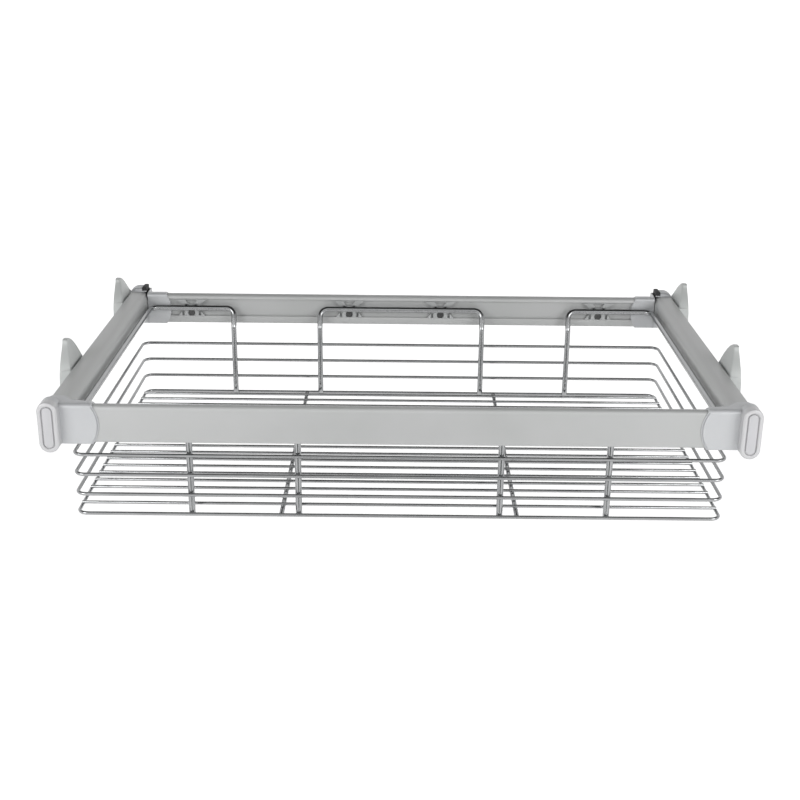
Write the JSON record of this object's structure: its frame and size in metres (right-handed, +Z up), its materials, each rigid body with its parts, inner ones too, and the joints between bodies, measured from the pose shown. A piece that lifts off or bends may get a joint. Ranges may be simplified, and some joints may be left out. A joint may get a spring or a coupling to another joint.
{
  "type": "pull-out wire basket",
  "caption": "Shallow chrome wire basket hung in a grey frame that pulls out of a cabinet on full extension ball slides carried by fin shaped wall brackets.",
  "frame": {"origin": "under the middle of the closed basket, level with its lowest wires", "axes": "+X across the basket to the right, the basket pulls out towards -Y, +Z up"},
  "size_m": [0.864, 0.5276, 0.1866],
  "materials": {
    "chrome_wire": "bright chrome plate",
    "bar_paint": "satin grey",
    "cover_plastic": "satin grey",
    "cap_plastic": "satin light grey",
    "inlay_plastic": "fine matt grey",
    "clip_plastic": "satin grey",
    "black_rubber": "matt black",
    "slide_steel": "zinc plated",
    "cage_steel": "zinc plated",
    "ball_steel": "polished",
    "buffer_plastic": "matt black",
    "bracket_plastic": "satin light grey",
    "screw_steel": "zinc plated"
  },
  "bodies": {
    "wall_side": {"closing_buffer_left": "buffer_plastic", "closing_buffer_right": "buffer_plastic", "front_bracket_left": "bracket_plastic", "front_bracket_right": "bracket_plastic", "outer_rail_left": "slide_steel", "outer_rail_right": "slide_steel", "rail_rivets": "screw_steel", "rear_bracket_left": "bracket_plastic", "rear_bracket_right": "bracket_plastic"},
    "basket": {"cap_inlay_left": "inlay_plastic", "cap_inlay_right": "inlay_plastic", "clip_screws": "screw_steel", "corner_cover_left": "cover_plastic", "corner_cover_right": "cover_plastic", "end_cap_left": "cap_plastic", "end_cap_right": "cap_plastic", "floor_bearer_left": "chrome_wire", "floor_bearer_right": "chrome_wire", "floor_wires": "chrome_wire", "front_bar": "bar_paint", "front_clip_inner_left": "clip_plastic", "front_clip_inner_right": "clip_plastic", "front_clip_outer_left": "clip_plastic", "front_clip_outer_right": "clip_plastic", "inner_rail_left": "slide_steel", "inner_rail_right": "slide_steel", "middle_hanger_front": "chrome_wire", "middle_hanger_rear": "chrome_wire", "rail_screws": "screw_steel", "rear_bar": "bar_paint", "rear_bumper_left": "black_rubber", "rear_bumper_right": "black_rubber", "rear_clip_inner_left": "clip_plastic", "rear_clip_inner_right": "clip_plastic", "rear_clip_outer_left": "clip_plastic", "rear_clip_outer_right": "clip_plastic", "rear_connector_left": "cover_plastic", "rear_connector_right": "cover_plastic", "ring_wire_1": "chrome_wire", "ring_wire_2": "chrome_wire", "ring_wire_3": "chrome_wire", "ring_wire_4": "chrome_wire", "side_bar_left": "bar_paint", "side_bar_right": "bar_paint", "side_hanger_left": "chrome_wire", "side_hanger_right": "chrome_wire"},
    "middle_rail_left": {"middle_rail_left": "slide_steel"},
    "outer_cage_left": {"outer_ball_cage_left": "cage_steel", "outer_balls_left": "ball_steel"},
    "inner_cage_left": {"inner_ball_cage_left": "cage_steel", "inner_balls_left": "ball_steel"},
    "middle_rail_right": {"middle_rail_right": "slide_steel"},
    "outer_cage_right": {"outer_ball_cage_right": "cage_steel", "outer_balls_right": "ball_steel"},
    "inner_cage_right": {"inner_ball_cage_right": "cage_steel", "inner_balls_right": "ball_steel"}
  },
  "joints": [
    {"name": "pull_out", "type": "slide", "parent": "wall_side", "child": "basket", "axis": [0, -1, 0], "range_m": [0, 0.45]},
    {"name": "middle_rail_left_slide", "type": "slide", "parent": "wall_side", "child": "middle_rail_left", "axis": [0, -1, 0], "range_m": [0, 0.225]},
    {"name": "outer_cage_left_slide", "type": "slide", "parent": "wall_side", "child": "outer_cage_left", "axis": [0, -1, 0], "range_m": [0, 0.1125]},
    {"name": "inner_cage_left_slide", "type": "slide", "parent": "wall_side", "child": "inner_cage_left", "axis": [0, -1, 0], "range_m": [0, 0.3375]},
    {"name": "middle_rail_right_slide", "type": "slide", "parent": "wall_side", "child": "middle_rail_right", "axis": [0, -1, 0], "range_m": [0, 0.225]},
    {"name": "outer_cage_right_slide", "type": "slide", "parent": "wall_side", "child": "outer_cage_right", "axis": [0, -1, 0], "range_m": [0, 0.1125]},
    {"name": "inner_cage_right_slide", "type": "slide", "parent": "wall_side", "child": "inner_cage_right", "axis": [0, -1, 0], "range_m": [0, 0.3375]}
  ],
  "couplings": [
    {"joint": "middle_rail_left_slide", "follows": "pull_out", "ratio": 0.5},
    {"joint": "outer_cage_left_slide", "follows": "pull_out", "ratio": 0.25},
    {"joint": "inner_cage_left_slide", "follows": "pull_out", "ratio": 0.75},
    {"joint": "middle_rail_right_slide", "follows": "pull_out", "ratio": 0.5},
    {"joint": "outer_cage_right_slide", "follows": "pull_out", "ratio": 0.25},
    {"joint": "inner_cage_right_slide", "follows": "pull_out", "ratio": 0.75}
  ]
}
